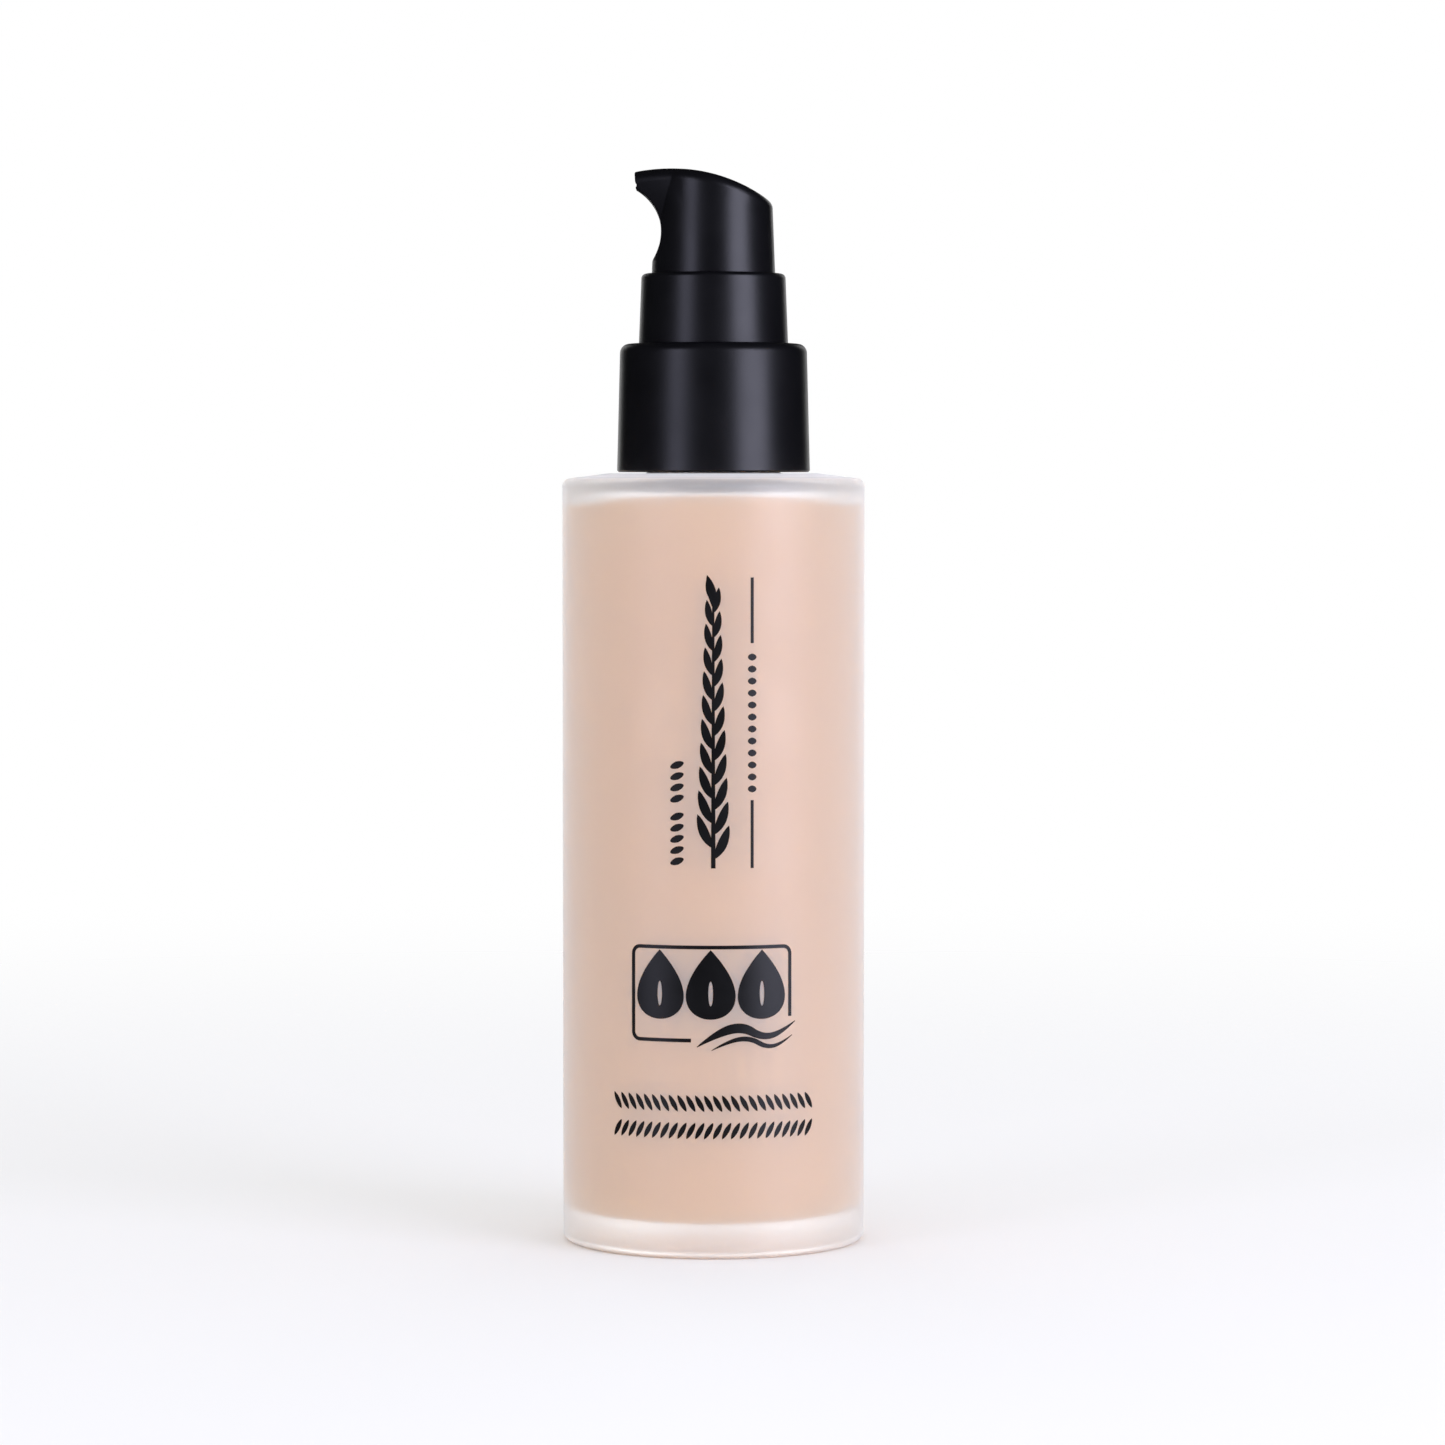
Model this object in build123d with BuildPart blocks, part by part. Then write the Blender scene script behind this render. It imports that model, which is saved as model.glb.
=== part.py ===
"""A 60 ml foundation bottle with a press pump, as separate pieces that come apart on a bench.

The bottle is a straight frosted glass cylinder with a thick base and an 18 mm screw neck. A pump hangs in the
neck: its barrel holds the inlet ball, the return spring, the sliding piston and the hollow stem, and its dip tube
reaches down to the base. A two-part screw collar holds the pump down, a guide sleeve stands up through the
collar, and the beak-shaped actuator head slides inside the sleeve.

Frame: millimetres, +Z up, origin at the centre of the base. The spout points along -X, the front faces -Y.
"""
import os
from math import acos, atan2, cos, radians, sin, sqrt, tan

from build123d import *

# ---- Glass bottle ------------------------------------------------------------------------------------------
bottle_diameter = 36.0
body_height = 90.75  # base to the outer edge of the shoulder
side_wall = 2.3
base_thickness = 3.8
push_up = 0.9  # how far the underside is domed in
foot_ring_width = 2.6  # the flat ring that the bottle stands on
heel_radius = 1.0
shoulder_radius = 1.0
shoulder_rise = 0.7  # the shoulder climbs this much from its edge to the flat under the collar
shoulder_land = 1.0  # the flat stands out past the collar, radially
shoulder_wall = 1.2
inner_base_radius = 2.6
inner_shoulder_radius = 2.2
neck_diameter = 15.6  # at the root of the thread
neck_bore = 10.4
neck_height = 11.05
neck_lip_radius = 0.5
neck_root_radius = 0.4
bead_height = 0.7  # transfer bead at the foot of the neck, radially
bead_width = 1.0
bead_lift = 1.0  # above the shoulder

# ---- Screw thread ------------------------------------------------------------------------------------------
thread_pitch = 3.175
thread_depth = 1.0  # of the glass thread
neck_thread_turns = 1.5
closure_thread_turns = 1.25
thread_root_width = 1.7
thread_crest_width = 0.9
thread_drop = 1.84  # neck top down to the middle of the last turn
thread_clearance = 0.2  # glass crest to closure bore, radially
closure_thread_depth = 0.9
closure_thread_root_width = 1.5
closure_thread_crest_width = 0.7
thread_bite = 0.3  # how far a thread's section is sunk into its wall
flank_gap = 0.12  # along the axis, between the flanks that hold the closure down

# ---- Screw closure and its outer shell ---------------------------------------------------------------------
collar_gap = 0.15  # shoulder to the bottom of the shell
closure_inset = 0.2  # the closure stops this far above the shell's bottom
closure_wall = 1.0
closure_plate = 1.2
plate_ledge = 0.4  # least width of the plate outside the shell's hole
closure_ribs = 24
rib_height = 0.12
rib_width = 0.5
shell_wall = 0.95  # at the top, and thicker below by the draft
shell_plate = 1.0
shell_draft = 1.45  # degrees
shell_edge_radius = 1.1
press_gap = 0.02  # between pieces that are pressed together

# ---- Pump barrel -------------------------------------------------------------------------------------------
gasket_thickness = 1.0
gasket_overhang = 0.6  # the gasket stands out past the barrel's flange
flange_thickness = 1.0
flange_overhang = 2.6  # the flange stands out past the barrel
neck_play = 0.4  # least gap round the barrel in the neck
barrel_bore = 7.0
barrel_wall = 0.8
spring_length = 11.0  # installed, with the head up
spring_floor_thickness = 1.0
vent_diameter = 0.7
ball_diameter = 3.0
ball_travel = 1.0
ball_side_gap = 0.4
ball_nib_height = 0.75
ball_nib_width = 0.9
ball_nib_thickness = 0.5
seat_angle = 45.0  # of the ball's conical seat
inlet_diameter = 1.8
tail_wall = 0.9
dip_tube_diameter = 3.2
dip_tube_bore = 2.0
dip_socket_depth = 5.0
dip_tube_base_gap = 1.6  # tube tip to the inside of the base
dip_tube_cut = 30.0  # degrees, slant of the tube's end

# ---- Chaplet, the bush that closes the barrel and guides the stem ------------------------------------------
running_gap = 0.05  # between parts that slide or turn
chaplet_spigot = 3.0
chaplet_shoulder = 1.7  # the boss is this much wider than the barrel's bore, radially
chaplet_lip = 0.4
chaplet_lip_height = 0.4

# ---- Guide sleeve ------------------------------------------------------------------------------------------
plate_play = 0.1  # either side of the closure's plate, so that the collar turns
sleeve_floor = 1.2
sleeve_spare = 2.8  # the sleeve stands this much higher above the collar than the stroke
sleeve_wall = 0.9  # at the top
sleeve_draft = 2.2  # degrees
sleeve_edge_radius = 0.55
guide_gap = 0.25  # head skirt to sleeve
shell_hole_gap = 0.2  # sleeve to the hole in the shell

# ---- Stem, piston and return spring ------------------------------------------------------------------------
stroke = 5.5
stroke_margin = 0.3
stem_diameter = 4.0
stem_bore = 2.2
stem_shoulder = 0.6
stem_shoulder_height = 0.6
piston_slip = 0.8  # the stem moves this much before it takes the piston along
piston_height = 3.0
piston_lip_height = 0.7
piston_waist = 0.5  # the piston's middle is this much smaller, radially
piston_relief = 0.35  # flow gap between piston and stem
piston_grip_height = 0.8
port_diameter = 0.8
port_height = 1.5  # above the stem's foot
poppet_overlap = 0.45  # the poppet covers this much of the piston's foot
poppet_height = 1.0
poppet_spigot = 0.9
poppet_tail = 2.0
poppet_tail_diameter = 2.4
wire_diameter = 0.5
spring_inset = 0.15  # the spring's outside to the poppet's edge
open_turns = 5.5  # besides the closed turn at either end

# ---- Actuator head -----------------------------------------------------------------------------------------
skirt_diameter = 14.8  # at its lower edge
head_draft = 2.2  # degrees
head_rise = 12.3  # crest above the sleeve
head_wall = 1.0
crest_offset = 5.8  # the top arc's highest point, from the axis towards the spout
crest_radius = 22.6
spout_overhang = 2.0  # past the skirt's radius
spout_width = 4.8
spout_foot_width = 1.6  # level with the scoop's centre, where the scoop cuts it off
spout_lean = 0.6  # the tip leans out this much between the same two levels
beak_sink = 0.1  # the flanks start this far inside the round body, at the crest
beak_foot_sink = 0.55
scoop_radius = 5.8
scoop_depth = 1.2  # the scoop's deepest cut, inwards from the skirt's radius
scoop_lift = 4.9  # scoop's centre above the sleeve
top_edge_radius = 1.25
spout_edge_radius = 0.25
socket_depth = 5.0
socket_wall = 1.0
orifice_diameter = 1.2
orifice_drop = 1.85  # orifice's centre below the crest
channel_drop = 3.3  # channel's centre over the stem, below the crest
duct_wall = 0.8
groove_radius = 0.5  # the notch across the spout's face
groove_depth = 0.3

# ---- Contents ----------------------------------------------------------------------------------------------
fill_gap = 0.03
fill_drop = 0.2  # the liquid stops this far under the inside of the shoulder

# ---- Levels and radii worked out from the sizes above ------------------------------------------------------
bottle_radius = bottle_diameter / 2
inner_radius = bottle_radius - side_wall
neck_radius = neck_diameter / 2
shoulder_top = body_height + shoulder_rise
inner_top = body_height - shoulder_wall
neck_top = shoulder_top + neck_height
shell_bottom = shoulder_top + collar_gap
closure_bottom = shell_bottom + closure_inset
flange_bottom = neck_top + gasket_thickness
flange_top = flange_bottom + flange_thickness
plate_bottom = flange_top + plate_play
plate_top = plate_bottom + closure_plate
collar_top = plate_top + shell_plate
sleeve_bottom = plate_top + plate_play
floor_top = sleeve_bottom + sleeve_floor
sleeve_top = collar_top + stroke + sleeve_spare
chaplet_top = floor_top + chaplet_lip_height
spigot_bottom = flange_top - chaplet_spigot

neck_crest_radius = neck_radius + thread_depth
closure_bore_radius = neck_crest_radius + thread_clearance
skirt_radius = skirt_diameter / 2
sleeve_bore_radius = skirt_radius + guide_gap
sleeve_top_radius = sleeve_bore_radius + sleeve_wall
sleeve_foot_radius = sleeve_top_radius + (sleeve_top - sleeve_bottom) * tan(radians(sleeve_draft))
shell_hole_radius = sleeve_foot_radius + shell_hole_gap
closure_radius = max(closure_bore_radius + closure_wall, shell_hole_radius + plate_ledge)
shell_bore_radius = closure_radius + rib_height + press_gap
shell_top_radius = shell_bore_radius + shell_wall
shell_foot_radius = shell_top_radius + (collar_top - shell_bottom) * tan(radians(shell_draft))

barrel_radius = barrel_bore / 2
barrel_outer_radius = barrel_radius + barrel_wall
neck_bore_radius = max(neck_bore / 2, barrel_outer_radius + neck_play)
flange_radius = barrel_outer_radius + flange_overhang
gasket_radius = min(flange_radius + gasket_overhang, closure_bore_radius - plate_play)
chaplet_radius = barrel_radius + chaplet_shoulder
stem_radius = stem_diameter / 2
stem_shoulder_radius = stem_radius + stem_shoulder
poppet_radius = stem_radius + piston_relief + poppet_overlap
stop_top = spigot_bottom - running_gap  # the stem's shoulder stops against the chaplet
stop_bottom = stop_top - stem_shoulder_height
piston_top = stop_bottom - piston_slip
piston_bottom = piston_top - piston_height
stem_foot = piston_bottom
poppet_bottom = stem_foot - poppet_height
spring_floor = poppet_bottom - spring_length
ball_radius = ball_diameter / 2
chamber_radius = ball_radius + ball_side_gap
inlet_radius = inlet_diameter / 2
seat_contact_drop = ball_radius * sin(radians(90 - seat_angle))  # ball's centre above its ring of contact
seat_contact_radius = ball_radius * cos(radians(90 - seat_angle))
nib_bottom = spring_floor - ball_nib_thickness
ball_rest = nib_bottom - ball_travel - ball_radius  # the ball's centre, on its seat
seat_top = ball_rest - seat_contact_drop + (chamber_radius - seat_contact_radius) * tan(radians(seat_angle))
seat_bottom = seat_top - (chamber_radius - inlet_radius) * tan(radians(seat_angle))
socket_top = seat_bottom - spring_floor_thickness
socket_bottom = socket_top - dip_socket_depth
dip_tube_radius = dip_tube_diameter / 2
tail_radius = max(dip_tube_radius + press_gap, chamber_radius) + tail_wall
tail_shoulder = spring_floor - spring_floor_thickness
dip_tube_bottom = base_thickness + dip_tube_base_gap

skirt_bottom = chaplet_top + stroke + stroke_margin
stem_top = skirt_bottom + socket_depth
head_crest = sleeve_top + head_rise
scoop_height = sleeve_top + scoop_lift
head_slope = tan(radians(head_draft))
crest_centre = head_crest - crest_radius
spout_reach = skirt_radius + spout_overhang
scoop_centre = scoop_depth - skirt_radius - scoop_radius
orifice = Vector(-spout_reach, 0, head_crest - orifice_drop)
channel_start = Vector(0, 0, head_crest - channel_drop)
channel_plane = Plane(origin=channel_start, z_dir=orifice - channel_start)
channel_length = (orifice - channel_start).length

bead_bottom = shoulder_top + bead_lift
foot_ring_inner = bottle_radius - heel_radius - foot_ring_width
dome_radius = (foot_ring_inner**2 + push_up**2) / (2 * push_up)
fill_radius = inner_radius - fill_gap
fill_bottom = base_thickness + fill_gap

# The closure's thread hangs under the bottle's, with a small gap left between their flanks.
neck_slope = (thread_root_width - thread_crest_width) / 2 / thread_depth
closure_slope = (closure_thread_root_width - closure_thread_crest_width) / 2 / closure_thread_depth
closure_crest_radius = closure_bore_radius - closure_thread_depth
reach_at_closure_crest = (
    thread_root_width / 2 - (closure_crest_radius - neck_radius) * neck_slope + closure_thread_crest_width / 2
)
reach_at_neck_crest = (
    closure_thread_root_width / 2 - thread_clearance * closure_slope + thread_crest_width / 2
)
flank_reach = max(reach_at_closure_crest, reach_at_neck_crest)
neck_thread_start = neck_top - thread_drop - thread_pitch * neck_thread_turns
closure_thread_phase = neck_thread_turns - 1 - closure_thread_turns  # in turns
closure_thread_start = neck_thread_start + thread_pitch * (1 + closure_thread_phase) - flank_reach - flank_gap


def corner(x, y):
    """The corner of the open sketch that is nearest to a point."""
    return vertices().sort_by_distance((x, y))[0]


def head_radius(height):
    """The drafted head's radius at a height."""
    return skirt_radius - (height - skirt_bottom) * head_slope


def beak_section(reach, half_width, radius):
    """A level slice of the beak: straight flanks from its tip to where they touch a circle about the stem."""
    angle = atan2(half_width, -reach) - acos(radius / sqrt(reach**2 + half_width**2))
    root_x = radius * cos(angle)
    root_y = radius * sin(angle)
    Polygon((root_x, root_y), (-reach, half_width), (-reach, -half_width), (root_x, -root_y), align=None)


# ============================================================================================================
# Glass bottle: body, neck, transfer bead and thread in one solid
# ============================================================================================================
with BuildPart() as neck_thread:
    with BuildLine():
        neck_helix = Helix(
            thread_pitch,
            thread_pitch * neck_thread_turns,
            neck_radius,
            center=(0, 0, neck_thread_start),
        )
    with BuildSketch(Plane(origin=neck_helix @ 0, x_dir=(1, 0, 0), z_dir=neck_helix % 0)):
        Polygon(
            (-thread_bite, -thread_root_width / 2),
            (0, -thread_root_width / 2),
            (thread_depth, -thread_crest_width / 2),
            (thread_depth, thread_crest_width / 2),
            (0, thread_root_width / 2),
            (-thread_bite, thread_root_width / 2),
            align=None,
        )
    sweep(is_frenet=True)

with BuildPart() as glass_bottle:
    with BuildSketch(Plane.XZ):
        Polygon(
            (0, 0),
            (bottle_radius, 0),
            (bottle_radius, body_height),
            (shell_foot_radius + shoulder_land, shoulder_top),
            (neck_radius, shoulder_top),
            (neck_radius, bead_bottom),
            (neck_radius + bead_height, bead_bottom + bead_width / 4),
            (neck_radius + bead_height, bead_bottom + bead_width * 3 / 4),
            (neck_radius, bead_bottom + bead_width),
            (neck_radius, neck_top),
            (neck_bore_radius, neck_top),
            (neck_bore_radius, shoulder_top - shoulder_wall),
            (inner_radius, inner_top),
            (inner_radius, base_thickness),
            (0, base_thickness),
            align=None,
        )
        fillet(corner(bottle_radius, 0), heel_radius)
        fillet(corner(bottle_radius, body_height), shoulder_radius)
        fillet(corner(neck_radius, shoulder_top), neck_root_radius)
        fillet(corner(neck_radius, neck_top), neck_lip_radius)
        fillet(corner(neck_bore_radius, neck_top), neck_lip_radius)
        fillet(corner(inner_radius, inner_top), inner_shoulder_radius)
        fillet(corner(inner_radius, base_thickness), inner_base_radius)
    revolve(axis=Axis.Z)
    add(neck_thread.part)
    with Locations((0, 0, push_up - dome_radius)):
        Sphere(dome_radius, mode=Mode.SUBTRACT)

# ============================================================================================================
# Liquid foundation, with the space that the pump and its tube take
# ============================================================================================================
with BuildPart() as foundation_liquid:
    with BuildSketch(Plane.XZ):
        Polygon(
            (0, fill_bottom),
            (fill_radius, fill_bottom),
            (fill_radius, inner_top - fill_gap),
            (0, inner_top - fill_gap),
            align=None,
        )
        fillet(corner(fill_radius, fill_bottom), inner_base_radius - fill_gap)
        fillet(corner(fill_radius, inner_top), inner_shoulder_radius - fill_gap)
        Polygon(
            (0, dip_tube_bottom - fill_gap),
            (dip_tube_radius + fill_gap, dip_tube_bottom - fill_gap),
            (dip_tube_radius + fill_gap, socket_bottom - fill_gap),
            (tail_radius + fill_gap, socket_bottom - fill_gap),
            (tail_radius + fill_gap, tail_shoulder - fill_gap),
            (barrel_outer_radius + fill_gap, tail_shoulder - fill_gap),
            (barrel_outer_radius + fill_gap, inner_top),
            (0, inner_top),
            align=None,
            mode=Mode.SUBTRACT,
        )
        with Locations((0, inner_top - fill_drop)):
            Rectangle(bottle_diameter, body_height, align=(Align.CENTER, Align.MIN), mode=Mode.SUBTRACT)
    revolve(axis=Axis.Z)

# ============================================================================================================
# Screw closure: threaded cap with a ribbed wall and a plate that holds the pump down
# ============================================================================================================
with BuildPart() as closure_thread:
    with BuildLine():
        closure_helix = Helix(
            thread_pitch,
            thread_pitch * closure_thread_turns,
            closure_bore_radius,
            center=(0, 0, closure_thread_start),
        )
    with BuildSketch(Plane(origin=closure_helix @ 0, x_dir=(1, 0, 0), z_dir=closure_helix % 0)):
        Polygon(
            (thread_bite, -closure_thread_root_width / 2),
            (0, -closure_thread_root_width / 2),
            (-closure_thread_depth, -closure_thread_crest_width / 2),
            (-closure_thread_depth, closure_thread_crest_width / 2),
            (0, closure_thread_root_width / 2),
            (thread_bite, closure_thread_root_width / 2),
            align=None,
        )
    sweep(is_frenet=True)

with BuildPart() as screw_closure:
    with BuildSketch(Plane.XZ):
        Polygon(
            (closure_bore_radius, closure_bottom),
            (closure_radius, closure_bottom),
            (closure_radius, plate_top),
            (chaplet_radius + plate_play, plate_top),
            (chaplet_radius + plate_play, plate_bottom),
            (closure_bore_radius, plate_bottom),
            align=None,
        )
    revolve(axis=Axis.Z)
    with BuildSketch(Plane.XY.offset(closure_bottom)):
        with PolarLocations(closure_radius, closure_ribs):
            Rectangle(2 * rib_height, rib_width)
    extrude(amount=plate_top - closure_bottom)
    add(closure_thread.part.rotate(Axis.Z, 360 * closure_thread_phase))

# ============================================================================================================
# Collar shell: the smooth drafted skirt that is pressed over the closure
# ============================================================================================================
with BuildPart() as collar_shell:
    with BuildSketch(Plane.XZ):
        Polygon(
            (shell_bore_radius, shell_bottom),
            (shell_foot_radius, shell_bottom),
            (shell_top_radius, collar_top),
            (shell_hole_radius, collar_top),
            (shell_hole_radius, plate_top + press_gap),
            (shell_bore_radius, plate_top + press_gap),
            align=None,
        )
        fillet(corner(shell_top_radius, collar_top), shell_edge_radius)
        chamfer(corner(shell_hole_radius, collar_top), shell_hole_gap)
        chamfer(corner(shell_foot_radius, shell_bottom), shell_hole_gap)
    revolve(axis=Axis.Z)

# ============================================================================================================
# Pump barrel: flange, cylinder, ball chamber and the socket for the dip tube
# ============================================================================================================
with BuildPart() as pump_barrel:
    with BuildSketch(Plane.XZ):
        Polygon(
            (barrel_radius, flange_top),
            (flange_radius, flange_top),
            (flange_radius, flange_bottom),
            (barrel_outer_radius, flange_bottom),
            (barrel_outer_radius, tail_shoulder),
            (tail_radius, tail_shoulder),
            (tail_radius, socket_bottom),
            (dip_tube_radius + press_gap, socket_bottom),
            (dip_tube_radius + press_gap, socket_top),
            (inlet_radius, socket_top),
            (inlet_radius, seat_bottom),
            (chamber_radius, seat_top),
            (chamber_radius, spring_floor),
            (barrel_radius, spring_floor),
            align=None,
        )
        chamfer(corner(tail_radius, socket_bottom), tail_wall / 2)
    revolve(axis=Axis.Z)
    with BuildSketch(Plane.XY.offset(nib_bottom)):
        with PolarLocations(chamber_radius, 3):
            Rectangle(2 * ball_nib_height, ball_nib_width)
        Circle(chamber_radius + ball_side_gap, mode=Mode.INTERSECT)
    extrude(amount=ball_nib_thickness)
    with Locations(Location((0, barrel_outer_radius, piston_bottom + piston_height / 2), (90, 0, 0))):
        Cylinder(vent_diameter / 2, 4 * barrel_wall, mode=Mode.SUBTRACT)

with BuildPart() as pump_gasket:
    with BuildSketch(Plane.XY.offset(neck_top)):
        Circle(gasket_radius)
        Circle(barrel_outer_radius + running_gap, mode=Mode.SUBTRACT)
    extrude(amount=gasket_thickness)

with BuildPart() as dip_tube:
    with BuildSketch(Plane.XY.offset(dip_tube_bottom)):
        Circle(dip_tube_radius)
        Circle(dip_tube_bore / 2, mode=Mode.SUBTRACT)
    extrude(amount=socket_top - press_gap - dip_tube_bottom)
    cut_plane = Plane(origin=(-dip_tube_radius, 0, dip_tube_bottom)).rotated((0, -dip_tube_cut, 0))
    split(bisect_by=cut_plane, keep=Keep.TOP)

with BuildPart() as inlet_ball:
    with Locations((0, 0, ball_rest + press_gap)):
        Sphere(ball_radius)

# ============================================================================================================
# Chaplet and guide sleeve: they clamp the collar between them and the barrel's flange
# ============================================================================================================
with BuildPart() as chaplet:
    with BuildSketch(Plane.XZ):
        Polygon(
            (stem_radius + running_gap, spigot_bottom),
            (barrel_radius - press_gap, spigot_bottom),
            (barrel_radius - press_gap, flange_top),
            (chaplet_radius, flange_top),
            (chaplet_radius, floor_top),
            (chaplet_radius + chaplet_lip, floor_top),
            (chaplet_radius, chaplet_top),
            (stem_radius + running_gap, chaplet_top),
            align=None,
        )
        chamfer(corner(barrel_radius, spigot_bottom), chaplet_lip)
    revolve(axis=Axis.Z)

with BuildPart() as guide_sleeve:
    with BuildSketch(Plane.XZ):
        Polygon(
            (chaplet_radius + press_gap, sleeve_bottom),
            (sleeve_foot_radius, sleeve_bottom),
            (sleeve_top_radius, sleeve_top),
            (sleeve_bore_radius, sleeve_top),
            (sleeve_bore_radius, floor_top),
            (chaplet_radius + press_gap, floor_top),
            align=None,
        )
        fillet(corner(sleeve_top_radius, sleeve_top), sleeve_edge_radius)
        fillet(corner(sleeve_bore_radius, sleeve_top), guide_gap)
    revolve(axis=Axis.Z)

# ============================================================================================================
# Stem, poppet, piston and spring
# ============================================================================================================
with BuildPart() as pump_stem:
    with BuildSketch(Plane.XZ):
        Polygon(
            (stem_bore / 2, stem_foot),
            (stem_radius, stem_foot),
            (stem_radius, stop_bottom),
            (stem_shoulder_radius, stop_bottom),
            (stem_shoulder_radius, stop_top),
            (stem_radius, stop_top),
            (stem_radius, stem_top),
            (stem_bore / 2, stem_top),
            align=None,
        )
    revolve(axis=Axis.Z)
    with Locations(Location((0, 0, stem_foot + port_height), (90, 0, 0))):
        Cylinder(port_diameter / 2, 4 * stem_radius, mode=Mode.SUBTRACT)

with BuildPart() as stem_poppet:
    with BuildSketch(Plane.XZ):
        Polygon(
            (0, poppet_bottom - poppet_tail),
            (poppet_tail_diameter / 2, poppet_bottom - poppet_tail),
            (poppet_tail_diameter / 2, poppet_bottom),
            (poppet_radius, poppet_bottom),
            (poppet_radius, stem_foot - press_gap),
            (stem_bore / 2 - press_gap, stem_foot - press_gap),
            (stem_bore / 2 - press_gap, stem_foot + poppet_spigot),
            (0, stem_foot + poppet_spigot),
            align=None,
        )
        chamfer(corner(poppet_tail_diameter / 2, poppet_bottom - poppet_tail), poppet_tail_diameter / 6)
    revolve(axis=Axis.Z)

piston_outer = barrel_radius - running_gap
piston_grip_radius = stem_radius + running_gap

with BuildPart() as piston_seal:
    with BuildSketch(Plane.XZ):
        Polygon(
            (stem_radius + piston_relief, piston_bottom),
            (piston_outer, piston_bottom),
            (piston_outer, piston_bottom + piston_lip_height),
            (piston_outer - piston_waist, piston_bottom + 2 * piston_lip_height),
            (piston_outer - piston_waist, piston_top - 2 * piston_lip_height),
            (piston_outer, piston_top - piston_lip_height),
            (piston_outer, piston_top),
            (piston_grip_radius, piston_top),
            (piston_grip_radius, piston_top - piston_grip_height),
            (stem_radius + piston_relief, piston_top - piston_grip_height - piston_relief),
            align=None,
        )
    revolve(axis=Axis.Z)

wire_radius = wire_diameter / 2
coil_radius = poppet_radius - spring_inset - wire_radius
closed_rise = wire_diameter + press_gap  # of the closed turn at either end
coil_start = spring_floor + wire_radius + press_gap
open_rise = spring_length - wire_diameter - 2 * press_gap - 2 * closed_rise

with BuildPart() as return_spring:
    with BuildLine():
        lower_turn = Helix(closed_rise, closed_rise, coil_radius, center=(0, 0, coil_start))
        Helix(open_rise / open_turns, open_rise, coil_radius, center=(0, 0, coil_start + closed_rise))
        add(lower_turn.moved(Location((0, 0, closed_rise + open_rise), (0, 0, 360 * open_turns))))
    with BuildSketch(Plane(origin=lower_turn @ 0, x_dir=(1, 0, 0), z_dir=lower_turn % 0)):
        Circle(wire_radius)
    sweep(is_frenet=True, transition=Transition.TRANSFORMED)

# ============================================================================================================
# Actuator head: drafted round skirt, beak-shaped spout, scooped front, arched top
# ============================================================================================================
with BuildPart() as spout_beak:
    with BuildSketch(Plane.XY.offset(scoop_height)):
        beak_section(spout_reach - spout_lean, spout_foot_width / 2, head_radius(scoop_height) - beak_foot_sink)
    with BuildSketch(Plane.XY.offset(head_crest)):
        beak_section(spout_reach, spout_width / 2, head_radius(head_crest) - beak_sink)
    loft(ruled=True)
    with BuildSketch(Plane.XZ):
        with Locations((-crest_offset, crest_centre)):
            Circle(crest_radius)
    extrude(amount=skirt_diameter, both=True, mode=Mode.INTERSECT)
    roof_edges = faces().sort_by(Axis.Z)[-1].edges().sort_by(Axis.Y)
    fillet([roof_edges[0], roof_edges[-1]], top_edge_radius)

# The hollow between the skirt and the stem's socket, under the roof and behind the scoop.
with BuildPart() as head_hollow:
    with BuildSketch(Plane.XY.offset(skirt_bottom)):
        Circle(skirt_radius - head_wall)
    extrude(amount=head_crest - skirt_bottom, taper=head_draft)
    with BuildSketch(Plane.XZ):
        with Locations((-crest_offset, crest_centre)):
            Circle(crest_radius - head_wall)
    extrude(amount=skirt_diameter, both=True, mode=Mode.INTERSECT)
    with BuildSketch(Plane.XZ):
        with Locations((scoop_centre, scoop_height)):
            Circle(scoop_radius + head_wall)
    extrude(amount=skirt_diameter, both=True, mode=Mode.SUBTRACT)
    with BuildSketch(Plane.XY.offset(skirt_bottom)):
        Circle(stem_radius + running_gap + socket_wall)
    extrude(amount=head_crest - skirt_bottom, mode=Mode.SUBTRACT)
    with BuildSketch(channel_plane):
        Circle(orifice_diameter / 2 + duct_wall)
    extrude(amount=channel_length, mode=Mode.SUBTRACT)

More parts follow.
